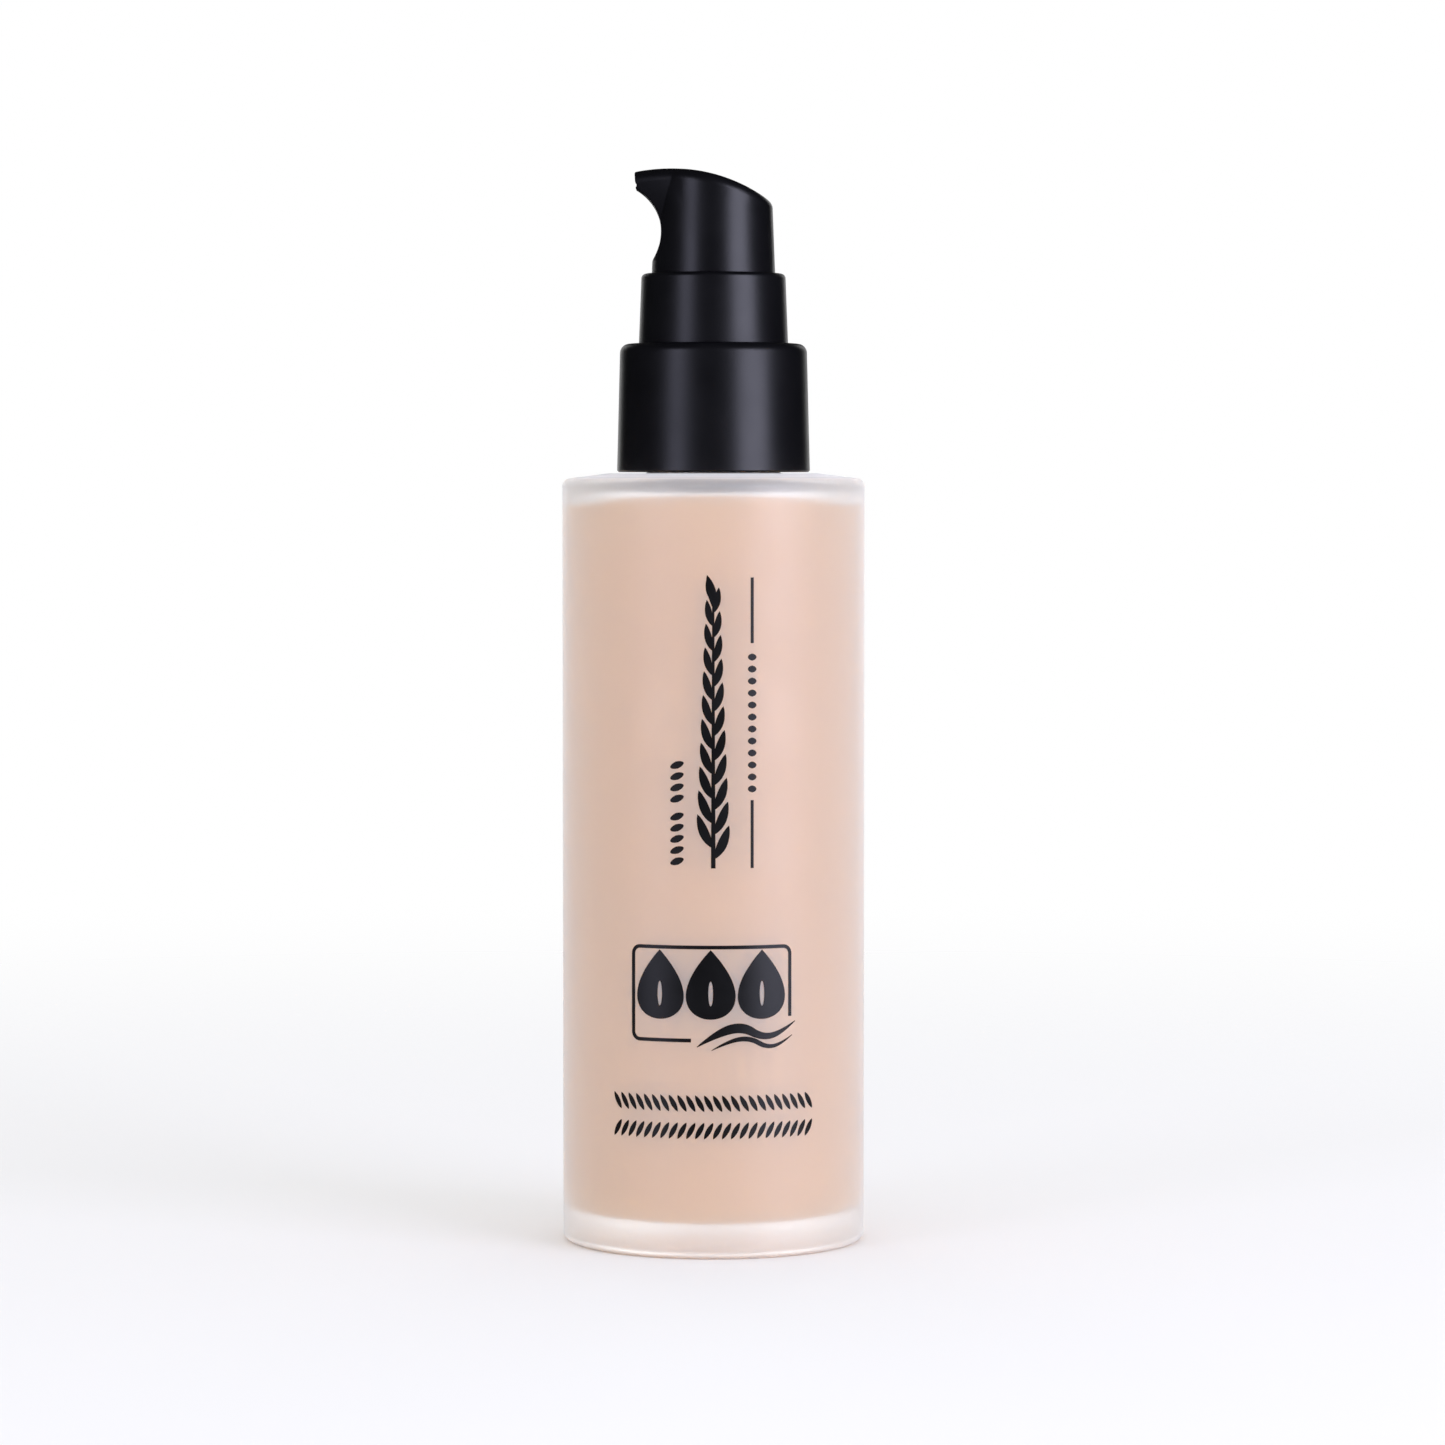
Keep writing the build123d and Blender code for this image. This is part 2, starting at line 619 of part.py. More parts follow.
with BuildPart() as actuator_head:
    with BuildSketch(Plane.XY.offset(skirt_bottom)):
        Circle(skirt_radius)
    extrude(amount=head_crest - skirt_bottom, taper=head_draft)
    with BuildSketch(Plane.XZ):
        with Locations((-crest_offset, crest_centre)):
            Circle(crest_radius)
    extrude(amount=skirt_diameter, both=True, mode=Mode.INTERSECT)
    fillet(faces().sort_by(Axis.Z)[-1].edges(), top_edge_radius)
    add(spout_beak.part)
    with BuildSketch(Plane.XZ):
        with Locations((scoop_centre, scoop_height)):
            Circle(scoop_radius)
    extrude(amount=skirt_diameter, both=True, mode=Mode.SUBTRACT)
    scoop_face = faces().filter_by(GeomType.CYLINDER).sort_by(Axis.Z)[0]
    tip_face = faces().sort_by(Axis.X)[0]
    fillet(scoop_face.edges() + tip_face.edges(), spout_edge_radius)
    add(head_hollow.part, mode=Mode.SUBTRACT)
    with BuildSketch(Plane.XY.offset(skirt_bottom)):
        Circle(stem_radius + running_gap)
    extrude(amount=stem_top + press_gap - skirt_bottom, mode=Mode.SUBTRACT)
    with BuildSketch(Plane.XY.offset(skirt_bottom)):
        Circle(stem_bore / 2)
    extrude(amount=channel_start.Z - skirt_bottom, mode=Mode.SUBTRACT)
    with BuildSketch(channel_plane):
        Circle(orifice_diameter / 2)
    extrude(amount=2 * channel_length, mode=Mode.SUBTRACT)
    with Locations(Location((groove_depth - spout_reach - groove_radius, 0, orifice.Z), (90, 0, 0))):
        Cylinder(groove_radius, 2 * spout_width, mode=Mode.SUBTRACT)

# ============================================================================================================
# Names and files
# ============================================================================================================
os.makedirs("parts", exist_ok=True)

glass_bottle.part.label = "glass_bottle"
export_step(glass_bottle.part, "parts/glass_bottle.step")
foundation_liquid.part.label = "foundation_liquid"
export_step(foundation_liquid.part, "parts/foundation_liquid.step")
screw_closure.part.label = "screw_closure"
export_step(screw_closure.part, "parts/screw_closure.step")
collar_shell.part.label = "collar_shell"
export_step(collar_shell.part, "parts/collar_shell.step")
pump_barrel.part.label = "pump_barrel"
export_step(pump_barrel.part, "parts/pump_barrel.step")
pump_gasket.part.label = "pump_gasket"
export_step(pump_gasket.part, "parts/pump_gasket.step")
dip_tube.part.label = "dip_tube"
export_step(dip_tube.part, "parts/dip_tube.step")
inlet_ball.part.label = "inlet_ball"
export_step(inlet_ball.part, "parts/inlet_ball.step")
chaplet.part.label = "chaplet"
export_step(chaplet.part, "parts/chaplet.step")
guide_sleeve.part.label = "guide_sleeve"
export_step(guide_sleeve.part, "parts/guide_sleeve.step")
pump_stem.part.label = "pump_stem"
export_step(pump_stem.part, "parts/pump_stem.step")
stem_poppet.part.label = "stem_poppet"
export_step(stem_poppet.part, "parts/stem_poppet.step")
piston_seal.part.label = "piston_seal"
export_step(piston_seal.part, "parts/piston_seal.step")
return_spring.part.label = "return_spring"
export_step(return_spring.part, "parts/return_spring.step")
actuator_head.part.label = "actuator_head"
export_step(actuator_head.part, "parts/actuator_head.step")
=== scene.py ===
from math import asin, cos, pi, radians, sin

import bpy
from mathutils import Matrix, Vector


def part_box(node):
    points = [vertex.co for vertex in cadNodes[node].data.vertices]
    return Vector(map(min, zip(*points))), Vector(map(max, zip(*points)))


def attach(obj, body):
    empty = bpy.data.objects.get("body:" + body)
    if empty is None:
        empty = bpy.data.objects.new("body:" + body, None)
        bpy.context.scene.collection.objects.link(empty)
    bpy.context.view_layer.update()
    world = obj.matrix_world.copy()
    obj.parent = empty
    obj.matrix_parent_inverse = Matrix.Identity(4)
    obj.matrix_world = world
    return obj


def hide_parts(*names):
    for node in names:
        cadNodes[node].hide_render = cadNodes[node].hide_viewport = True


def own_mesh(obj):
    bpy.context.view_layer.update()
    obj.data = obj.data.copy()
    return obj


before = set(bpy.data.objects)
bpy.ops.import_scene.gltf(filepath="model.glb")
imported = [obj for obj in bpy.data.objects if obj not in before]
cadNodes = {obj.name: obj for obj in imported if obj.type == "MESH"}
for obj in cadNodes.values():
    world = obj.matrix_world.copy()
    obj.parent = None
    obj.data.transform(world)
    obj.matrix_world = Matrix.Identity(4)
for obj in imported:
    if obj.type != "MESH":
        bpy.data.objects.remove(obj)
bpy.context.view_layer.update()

scene = bpy.context.scene
scene.view_settings.view_transform = "Standard"
mm = 0.001
weld = 0.002 * mm  # points closer than this are one
smoothAngle = radians(35)  # sharper edges stay crisp
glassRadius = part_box("glass_bottle")[1].x
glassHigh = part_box("collar_shell")[0].z - 0.15 * mm  # flat of the shoulder, under the collar
print("frame loaded:", len(cadNodes), "nodes")


# ---------- sockets that sum like numbers, for shaders and for geometry nodes
class Wire:
    def __init__(self, tree, socket=None):
        self.tree = tree
        self.socket = socket

    def node(self, kind, settings=None, inputs=None, output=0):
        node = self.tree.nodes.new(kind)
        for name, value in (settings or {}).items():
            if name == "stops":
                setStops(node.color_ramp, value)
            else:
                setattr(node, name, value)
        for key, value in (inputs or {}).items():
            for one in value if isinstance(value, list) else [value]:
                if isinstance(one, Wire):
                    self.tree.links.new(one.socket, node.inputs[key])
                else:
                    node.inputs[key].default_value = one
        return Wire(self.tree, node.outputs[output])

    def other(self, output):  # another output of the same node
        return Wire(self.tree, self.socket.node.outputs[output])

    def maths(self, operation, *values):
        return self.node("ShaderNodeMath", {"operation": operation}, dict(enumerate(values)))

    def __add__(self, value):
        return self.maths("ADD", self, value)

    def __sub__(self, value):
        return self.maths("SUBTRACT", self, value)

    def __rsub__(self, value):
        return self.maths("SUBTRACT", value, self)

    def __mul__(self, value):
        return self.maths("MULTIPLY", self, value)

    def __truediv__(self, value):
        return self.maths("DIVIDE", self, value)

    def __pow__(self, value):
        return self.maths("POWER", self, value)

    __radd__ = __add__
    __rmul__ = __mul__

    def sin(self):
        return self.maths("SINE", self)

    def cos(self):
        return self.maths("COSINE", self)

    def atLeast(self, value):
        return self.maths("MAXIMUM", self, value)

    def atMost(self, value):
        return self.maths("MINIMUM", self, value)

    def step(self, low, high, start=0.0, end=1.0):  # eases from start to end between low and high
        sizes = {"Value": self, "From Min": low, "From Max": high, "To Min": start, "To Max": end}
        return self.node("ShaderNodeMapRange", {"interpolation_type": "SMOOTHSTEP"}, sizes)

    def split(self):
        parts = self.node("ShaderNodeSeparateXYZ", None, {0: self})
        return parts, parts.other(1), parts.other(2)

    def join(self, x, y, z):
        return self.node("ShaderNodeCombineXYZ", None, {0: x, 1: y, 2: z})

    def vector(self, operation, *values):
        return self.node("ShaderNodeVectorMath", {"operation": operation}, dict(enumerate(values)))


def setStops(ramp, stops):
    while len(ramp.elements) < len(stops):
        ramp.elements.new(0.5)
    for element, (place, shade) in zip(ramp.elements, stops):
        element.position = place
        element.color = (*shade, 1)


# ---------- materials
def startFinish(name, constants):  # a Principled shader with its fixed values on its own sockets
    material = bpy.data.materials.new(name)
    material.use_nodes = True
    tree = material.node_tree
    tree.nodes.clear()
    shader = tree.nodes.new("ShaderNodeBsdfPrincipled")
    out = tree.nodes.new("ShaderNodeOutputMaterial")
    tree.links.new(shader.outputs[0], out.inputs[0])
    for key, value in constants.items():
        shader.inputs[key].default_value = value
    place = Wire(tree).node("ShaderNodeTexCoord", output="Object")
    return material, place, shader


def feed(shader, key, wire):
    shader.id_data.links.new(wire.socket, shader.inputs[key])


def noise(place, scale, detail=2.0, stretch=(1, 1, 1), output=0):
    where = place.vector("MULTIPLY", place, stretch)
    return place.node(
        "ShaderNodeTexNoise", None, {"Vector": where, "Scale": scale, "Detail": detail}, output
    )


def blend(share, first, second):  # colour mix
    kind = {"data_type": "RGBA"}
    return share.node("ShaderNodeMix", kind, {0: share, 6: (*first, 1), 7: (*second, 1)}, 2)


def bump(height, distance, strength=1.0):
    return height.node(
        "ShaderNodeBump", None, {"Height": height, "Distance": distance, "Strength": strength}
    )


frostedGlass = {
    "tint": (0.955, 0.95, 0.948),
    "tintThin": (0.93, 0.925, 0.925),
    "milky": 0.24,  # share of the light that the etched skin scatters
    "frost": 0.42,
    "veil": 0.85,  # soft glow of the etching towards the outline
    "veilSpread": 0.6,
    "polish": 0.1,
    "skinFrom": 16.6 * mm,  # etched outside these levels, polished within
    "skinTop": glassHigh - 0.35 * mm,
    "skinFoot": 1.6 * mm,
    "skinEdge": 0.5 * mm,
    "skinTopEdge": 0.8 * mm,
    "cloud": 160,
    "grain": 5200,
    "grainHeight": 0.004 * mm,
}


def makeFrostedGlass(sizes):
    clearValues = {"Transmission Weight": 1.0, "IOR": 1.5, "Specular IOR Level": 0.5}
    etchedValues = {
        **clearValues,
        "Transmission Weight": 1 - sizes["milky"],
        "Sheen Weight": sizes["veil"],
        "Sheen Roughness": sizes["veilSpread"],
    }
    material, place, clear = startFinish("frostedGlass", clearValues)
    out = clear.outputs[0].links[0].to_node
    etched = place.tree.nodes.new("ShaderNodeBsdfPrincipled")
    for key, value in etchedValues.items():
        etched.inputs[key].default_value = value
    x, y, z = place.split()
    radius = place.vector("LENGTH", place.join(x, y, 0.0)).other(1)
    edge = sizes["skinEdge"]
    side = radius.step(sizes["skinFrom"], sizes["skinFrom"] + edge)
    top = z.step(sizes["skinTop"] - sizes["skinTopEdge"], sizes["skinTop"])
    foot = z.step(sizes["skinFoot"], sizes["skinFoot"] + edge, 1.0, 0.0)
    outside = side.atLeast(top).atLeast(foot)
    cloud = noise(place, sizes["cloud"], 3).step(0.3, 0.7)
    tint = blend(cloud, sizes["tint"], sizes["tintThin"])
    polish, frost = sizes["polish"], sizes["frost"]
    grain = noise(place, sizes["grain"], 1)
    feed(clear, "Roughness", cloud * (polish * 0.4) + polish * 0.8)
    feed(clear, "Base Color", tint)
    feed(etched, "Roughness", cloud * 0.06 + (frost - 0.03))
    feed(etched, "Base Color", tint)
    feed(etched, "Normal", bump(grain, sizes["grainHeight"]))
    faces = {0: outside, 1: Wire(place.tree, clear.outputs[0]), 2: Wire(place.tree, etched.outputs[0])}
    both = place.node("ShaderNodeMixShader", None, faces)
    place.tree.links.new(both.socket, out.inputs[0])
    return material


foundationFill = {
    "pigment": (0.685, 0.355, 0.105),
    "pigmentLight": (0.72, 0.385, 0.13),
    "roughness": 0.4,
    "spread": 0.05,
    "shine": 0.25,
    "ripple": 0.02 * mm,
}


def makeFoundation(sizes):
    material, place, shader = startFinish("foundationFill", {"Specular IOR Level": sizes["shine"]})
    swirl = noise(place, 55, 3, (1, 1, 0.35))
    fine = noise(place, 900, 2)
    share = swirl.step(0.3, 0.72) * 0.8 + fine * 0.2
    feed(shader, "Base Color", blend(share, sizes["pigment"], sizes["pigmentLight"]))
    roughness, spread = sizes["roughness"], sizes["spread"]
    feed(shader, "Roughness", swirl.step(0.3, 0.7, roughness - spread, roughness + spread))
    feed(shader, "Normal", bump(noise(place, 240, 2), sizes["ripple"]))
    return material


def makePlastic(name, sizes):  # moulded plastic: fine spark texture, cloudy gloss
    material, place, shader = startFinish(name, sizes.get("fixed", {}))
    cloud = noise(place, sizes.get("cloud", 180), 3)
    grain = noise(place, sizes["grain"], 2)
    shade = cloud.step(0.3, 0.7) * 0.7 + grain * 0.3
    feed(shader, "Base Color", blend(shade, sizes["dark"], sizes["light"]))
    spread = sizes["spread"]
    gloss = cloud.step(0.25, 0.75, sizes["roughness"] - spread, sizes["roughness"] + spread)
    feed(shader, "Roughness", gloss + (grain - 0.5) * spread)
    feed(shader, "Normal", bump(grain, sizes["grainHeight"]))
    return material


satinBlack = {
    "dark": (0.002, 0.002, 0.0036),
    "light": (0.003, 0.003, 0.005),
    "roughness": 0.36,
    "spread": 0.02,
    "grain": 5200,
    "grainHeight": 0.0025 * mm,
    "fixed": {"IOR": 1.5},
}
innerBlack = {
    "dark": (0.008, 0.008, 0.0095),
    "light": (0.014, 0.014, 0.016),
    "roughness": 0.55,
    "spread": 0.05,
    "grain": 3800,
    "grainHeight": 0.006 * mm,
}
milkyPlastic = {
    "dark": (0.72, 0.735, 0.73),
    "light": (0.82, 0.83, 0.82),
    "roughness": 0.38,
    "spread": 0.04,
    "grain": 2600,
    "grainHeight": 0.004 * mm,
    "fixed": {"Transmission Weight": 0.6, "IOR": 1.5},
}
whitePlastic = {
    "dark": (0.7, 0.7, 0.675),
    "light": (0.8, 0.8, 0.78),
    "roughness": 0.42,
    "spread": 0.05,
    "grain": 3200,
    "grainHeight": 0.004 * mm,
    "fixed": {"Subsurface Weight": 0.1, "Subsurface Radius": (0.001, 0.0008, 0.0006)},
}
printInk = {
    "dark": (0.0035, 0.0035, 0.004),
    "light": (0.007, 0.007, 0.008),
    "roughness": 0.34,
    "spread": 0.04,
    "grain": 6500,
    "grainHeight": 0.002 * mm,
    "fixed": {"IOR": 1.48},
}


def makeFoam():
    material, place, shader = startFinish("gasketFoam", {"Specular IOR Level": 0.3})
    cells = place.node("ShaderNodeTexVoronoi", None, {"Vector": place, "Scale": 3400.0})
    # painted shade: the colour darkens towards each cell's middle, the low point of the bump, as shade
    # in the foam's hollows
    feed(shader, "Base Color", blend(cells.step(0.1, 0.7), (0.5, 0.5, 0.48), (0.74, 0.74, 0.71)))
    feed(shader, "Roughness", cells.step(0.0, 0.8, 0.95, 0.75))
    feed(shader, "Normal", bump(cells, 0.05 * mm))
    return material


def makeSteel():
    material, place, shader = startFinish("drawnSteel", {"Metallic": 1.0})
    lines = noise(place, 1500, 3, (1, 1, 9))
    feed(shader, "Base Color", blend(lines, (0.5, 0.5, 0.51), (0.68, 0.68, 0.69)))
    feed(shader, "Roughness", lines.step(0.2, 0.8, 0.2, 0.34))
    feed(shader, "Normal", bump(lines, 0.003 * mm))
    return material


satin = makePlastic("satinBlack", satinBlack)
inner = makePlastic("innerBlack", innerBlack)
milky = makePlastic("milkyPlastic", milkyPlastic)
white = makePlastic("whitePlastic", whitePlastic)
ink = makePlastic("printInk", printInk)
glass = makeFrostedGlass(frostedGlass)
fill = makeFoundation(foundationFill)
steel = makeSteel()
finishes = {
    glass: ["glass_bottle"],
    satin: ["collar_shell", "guide_sleeve", "actuator_head"],
    inner: ["screw_closure", "chaplet"],
    milky: ["pump_barrel", "dip_tube"],
    white: ["pump_stem", "stem_poppet", "piston_seal"],
    makeFoam(): ["pump_gasket"],
    steel: ["return_spring", "inlet_ball"],
}
for material, names in finishes.items():
    for name in names:
        for slot in cadNodes[name].material_slots:
            slot.material = material
print("finishes made:", len(finishes) + 2)


# ---------- camera, floor and lights
viewpoint = {
    "place": (1.07 * mm, -596 * mm, 90.7 * mm),
    "lookDown": 2.78,  # degrees
    "lens": 124.6,
    "sensor": 36,
    "nearest": 10 * mm,
}
camera = bpy.data.objects.new("camera", bpy.data.cameras.new("camera"))
scene.collection.objects.link(camera)
camera.location = viewpoint["place"]
camera.rotation_euler = (radians(90 - viewpoint["lookDown"]), 0, 0)
camera.data.lens = viewpoint["lens"]
camera.data.sensor_width = viewpoint["sensor"]
camera.data.clip_start = viewpoint["nearest"]
scene.camera = camera

studio = {
    "backdrop": 1.0,  # what the camera sees past the floor
    "throughGlass": 1.5,
    "reflected": 0.02,
    "fillLight": 0.92,
    "floorShade": (0.88, 0.88, 0.885),
    "floorRadius": 0.62,
    "floorCorners": 96,
    "fadeFrom": 0.1,
    "fadeTo": 0.5,
}


def makeWorld(sizes):
    world = bpy.data.worlds.new("studioAir")
    world.use_nodes = True
    tree = world.node_tree
    tree.nodes.clear()
    ray = Wire(tree).node("ShaderNodeLightPath", output="Is Camera Ray")
    strength = ray * sizes["backdrop"]
    strength = strength + ray.other("Is Transmission Ray") * sizes["throughGlass"]
    strength = strength + ray.other("Is Glossy Ray") * sizes["reflected"]
    strength = strength + ray.other("Is Diffuse Ray") * sizes["fillLight"]
    sky = ray.node("ShaderNodeBackground", None, {"Color": (1, 1, 1, 1), "Strength": strength})
    out = tree.nodes.new("ShaderNodeOutputWorld")
    tree.links.new(sky.socket, out.inputs[0])
    scene.world = world


def makeFloor(sizes):
    mesh = bpy.data.meshes.new("floor")
    corners, radius = sizes["floorCorners"], sizes["floorRadius"]
    turns = [2 * pi * i / corners for i in range(corners)]
    rim = [(radius * cos(turn), radius * sin(turn), 0) for turn in turns]
    mesh.from_pydata(rim, [], [list(range(corners))])
    floor = bpy.data.objects.new("floor", mesh)
    scene.collection.objects.link(floor)
    material = bpy.data.materials.new("paleFloor")
    material.use_nodes = True
    tree = material.node_tree
    tree.nodes.clear()
    place = Wire(tree).node("ShaderNodeTexCoord", output="Object")
    away = place.vector("LENGTH", place).other(1)
    ray = place.node("ShaderNodeLightPath", output="Is Glossy Ray")
    through = ray.other("Is Transmission Ray")
    paint = place.node("ShaderNodeBsdfDiffuse", None, {"Color": (*sizes["floorShade"], 1)})
    dark = place.node("ShaderNodeEmission", None, {"Strength": sizes["reflected"]})
    bright = place.node("ShaderNodeEmission", None, {"Strength": sizes["throughGlass"]})
    clear = place.node("ShaderNodeBsdfTransparent")
    top = place.node("ShaderNodeMixShader", None, {0: ray, 1: paint, 2: dark})
    top = place.node("ShaderNodeMixShader", None, {0: through, 1: top, 2: bright})
    fade = away.step(sizes["fadeFrom"], sizes["fadeTo"])
    top = place.node("ShaderNodeMixShader", None, {0: fade, 1: top, 2: clear})
    out = tree.nodes.new("ShaderNodeOutputMaterial")
    tree.links.new(top.socket, out.inputs[0])
    mesh.materials.append(material)


keyBox = {"away": 0.7, "low": -0.02, "high": 0.42}
rimBox = {"away": 0.8, "low": 0.0, "high": 0.4, "width": 0.2, "glow": 1.3}
softboxes = {  # degrees from the camera's side towards the right, metres and radiance
    "keyRight": {**keyBox, "turn": 49, "width": 0.46, "glow": 4.3, "tone": (0.95, 0.95, 1.2)},
    "keyLeft": {**keyBox, "turn": -44, "width": 0.24, "glow": 2.5, "tone": (0.94, 0.94, 1.22)},
    "rimRight": {**rimBox, "turn": 160},
    "rimLeft": {**rimBox, "turn": -160},
}


def addSoftbox(name, sizes):
    data = bpy.data.lights.new(name, "AREA")
    data.shape = "RECTANGLE"
    data.size = sizes["width"]
    data.size_y = sizes["high"] - sizes["low"]
    data.energy = sizes["glow"] * pi * data.size * data.size_y
    data.color = sizes.get("tone", (1, 1, 1))
    lamp = bpy.data.objects.new(name, data)
    turn = radians(sizes["turn"])
    middle = (sizes["low"] + sizes["high"]) / 2
    lamp.location = (sizes["away"] * sin(turn), -sizes["away"] * cos(turn), middle)
    target = Vector((0, 0, middle)) - lamp.location
    lamp.rotation_euler = target.to_track_quat("-Z", "Y").to_euler()
    lamp.visible_camera = False
    scene.collection.objects.link(lamp)


makeWorld(studio)
makeFloor(studio)
for name, sizes in softboxes.items():
    addSoftbox(name, sizes)
print("studio set:", len(softboxes), "softboxes")


# ---------- geometry node trees
def startTree(name, inputs):  # inputs: name -> value; returns the tree and its inputs as wires
    tree = bpy.data.node_groups.new(name, "GeometryNodeTree")
    kinds = {int: "NodeSocketInt", float: "NodeSocketFloat", tuple: "NodeSocketVector"}
    tree.interface.new_socket("Geometry", in_out="INPUT", socket_type="NodeSocketGeometry")
    for key, value in inputs.items():
        kind = kinds.get(type(value), "NodeSocketMaterial")
        tree.interface.new_socket(key, in_out="INPUT", socket_type=kind)
    tree.interface.new_socket("Geometry", in_out="OUTPUT", socket_type="NodeSocketGeometry")
    start = tree.nodes.new("NodeGroupInput")
    return tree, {socket.name: Wire(tree, socket) for socket in start.outputs if socket.name}


def endTree(wire, shape, material):
    shape = wire.node("GeometryNodeRealizeInstances", None, {0: shape})
    shape = wire.node("GeometryNodeSetMaterial", None, {"Geometry": shape, "Material": material})
    end = wire.tree.nodes.new("NodeGroupOutput")
    wire.tree.links.new(shape.socket, end.inputs[0])


def growPiece(name, tree, values, source=None):  # runs a tree and keeps its result as a plain mesh
    owner = bpy.data.objects.new(name + "Grower", source or bpy.data.meshes.new(name))
    scene.collection.objects.link(owner)
    modifier = owner.modifiers.new("grow", "NODES")
    modifier.node_group = tree
    for item in tree.interface.items_tree:
        if item.in_out == "INPUT" and item.name in values:
            modifier[item.identifier] = values[item.name]
    bpy.context.view_layer.update()
    grown = owner.evaluated_get(bpy.context.evaluated_depsgraph_get())
    mesh = bpy.data.meshes.new_from_object(grown)
    owner.modifiers.clear()
    bpy.data.objects.remove(owner)
    piece = bpy.data.objects.new(name, mesh)
    scene.collection.objects.link(piece)
    mesh.name = name
    mesh.materials.clear()  # the tree leaves an empty slot before its own
    mesh.materials.append(values["Material"])
    mesh.polygons.foreach_set("material_index", [0] * len(mesh.polygons))
    mesh.shade_smooth()
    mesh.set_sharp_from_angle(angle=smoothAngle)
    return piece


# liquid: a turned solid; its profile runs from the axis underneath to the axis on top
def turnedTree():
    inputs = {"Rings": 96, "Steps": 200, "Material": None}
    tree, given = startTree("turnedSolid", inputs)
    wire = given["Rings"]
    grid = wire.node(
        "GeometryNodeMeshGrid", None,
        {"Size X": 1.0, "Size Y": 1.0, "Vertices X": given["Rings"], "Vertices Y": given["Steps"]},
    )
    x, y, z = wire.node("GeometryNodeInputPosition").split()
    line = wire.node(
        "GeometryNodeSampleCurve", {"mode": "FACTOR", "use_all_curves": True},
        {"Curves": given["Geometry"], "Factor": y + 0.5},
    ).other("Position")
    radius, across, height = line.split()
    turn = (x + 0.5) * (2 * pi)
    spot = wire.join(radius * turn.cos(), radius * turn.sin(), height)
    shape = wire.node("GeometryNodeSetPosition", None, {"Geometry": grid, "Position": spot})
    shape = wire.node("GeometryNodeMergeByDistance", None, {"Geometry": shape, "Distance": weld})
    endTree(wire, shape, given["Material"])
    return tree


def lineCurve(name, points, radii=None, smooth=False):
    curve = bpy.data.curves.new(name, "CURVE")
    curve.dimensions = "3D"
    spline = curve.splines.new("NURBS" if smooth else "POLY")
    spline.points.add(len(points) - 1)
    for i, point in enumerate(points):
        spline.points[i].co = (*point, 1)
        spline.points[i].radius = radii[i] if radii else 1.0
    if smooth:
        spline.order_u = 3
        spline.use_endpoint_u = True
        spline.resolution_u = 16
    return curve


liquid = {
    "wallBite": 0.03 * mm,  # the liquid wets the glass, so it is drawn just into the wall
    "innerRadius": 15.7 * mm,
    "floor": 3.8 * mm,
    "floorCorner": 2.6 * mm,
    "level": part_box("foundation_liquid")[1].z,
    "meniscus": 0.16 * mm,
    "meniscusWidth": 0.9 * mm,
    "innerTop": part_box("foundation_liquid")[1].z + 0.2 * mm,
    "shoulderCorner": 2.2 * mm,
    "clearance": 0.03 * mm,
    "barrelRadius": 4.3 * mm,
    "tailRadius": 2.8 * mm,
    "tailTop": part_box("return_spring")[0].z - 1.02 * mm,  # under the spring's floor
    "barrelMeniscus": (0.7, 0.6),  # width and height at the barrel, as shares of those at the wall
    "climb": 2.4,
    "Rings": 129,
    "Steps": 260,
}


def arcPoints(middleR, middleZ, radius, start, end, steps):
    turns = [start + (end - start) * i / steps for i in range(steps + 1)]
    return [(middleR + radius * cos(turn), middleZ + radius * sin(turn)) for turn in turns]


def liquidProfile(sizes):
    bite, gap, corner = sizes["wallBite"], sizes["clearance"], sizes["floorCorner"]
    wall, floor = sizes["innerRadius"] + bite, sizes["floor"] - bite
    tubeLow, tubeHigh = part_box("dip_tube")
    tubeSide, tubeEnd = tubeHigh.x + gap, tubeLow.z - gap
    barrelSide, tailSide = sizes["barrelRadius"] + gap, sizes["tailRadius"] + gap
    barrelEnd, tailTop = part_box("pump_barrel")[0].z - gap, sizes["tailTop"] - gap
    level, rise, width, climb = sizes["level"], sizes["meniscus"], sizes["meniscusWidth"], sizes["climb"]
    points = [(0, floor)]
    points += arcPoints(wall - corner, floor + corner, corner, -pi / 2, 0, 12)
    shoulder = sizes["shoulderCorner"]
    middle = sizes["innerTop"] + bite - shoulder
    last = asin((level + rise - middle) / shoulder)
    points += arcPoints(wall - shoulder, middle, shoulder, 0, last, 10)
    edge = points[-1][0]
    for i in range(1, 13):  # the level climbs a little where it meets the wall
        t = i / 12
        points.append((edge - width * t, level + rise * (1 - t) ** climb))
    wide, tall = sizes["barrelMeniscus"]
    for i in range(9):
        t = i / 8
        points.append((barrelSide + width * wide * (1 - t), level + rise * tall * t ** climb))
    points += [(barrelSide, tailTop), (tailSide, tailTop), (tailSide, barrelEnd)]
    points += [(tubeSide, barrelEnd), (tubeSide, tubeEnd), (0, tubeEnd)]
    return [(r, 0, z) for r, z in points]


liquidPiece = growPiece(
    "liquidFill",
    turnedTree(),
    {"Rings": liquid["Rings"], "Steps": liquid["Steps"], "Material": fill},
    lineCurve("liquidProfile", liquidProfile(liquid)),
)
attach(liquidPiece, "bottle")
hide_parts("foundation_liquid")
print("liquid turned:", len(liquidPiece.data.polygons), "faces")


# ---------- return spring: a wound wire with a closed turn at either end
springLow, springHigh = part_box("return_spring")
returnSpring = {
    "Open Turns": 5.5,
    "Wire Radius": 0.25 * mm,
    "Closed Rise": 0.52 * mm,  # of the closed turn at either end
    "Points": 360,
}


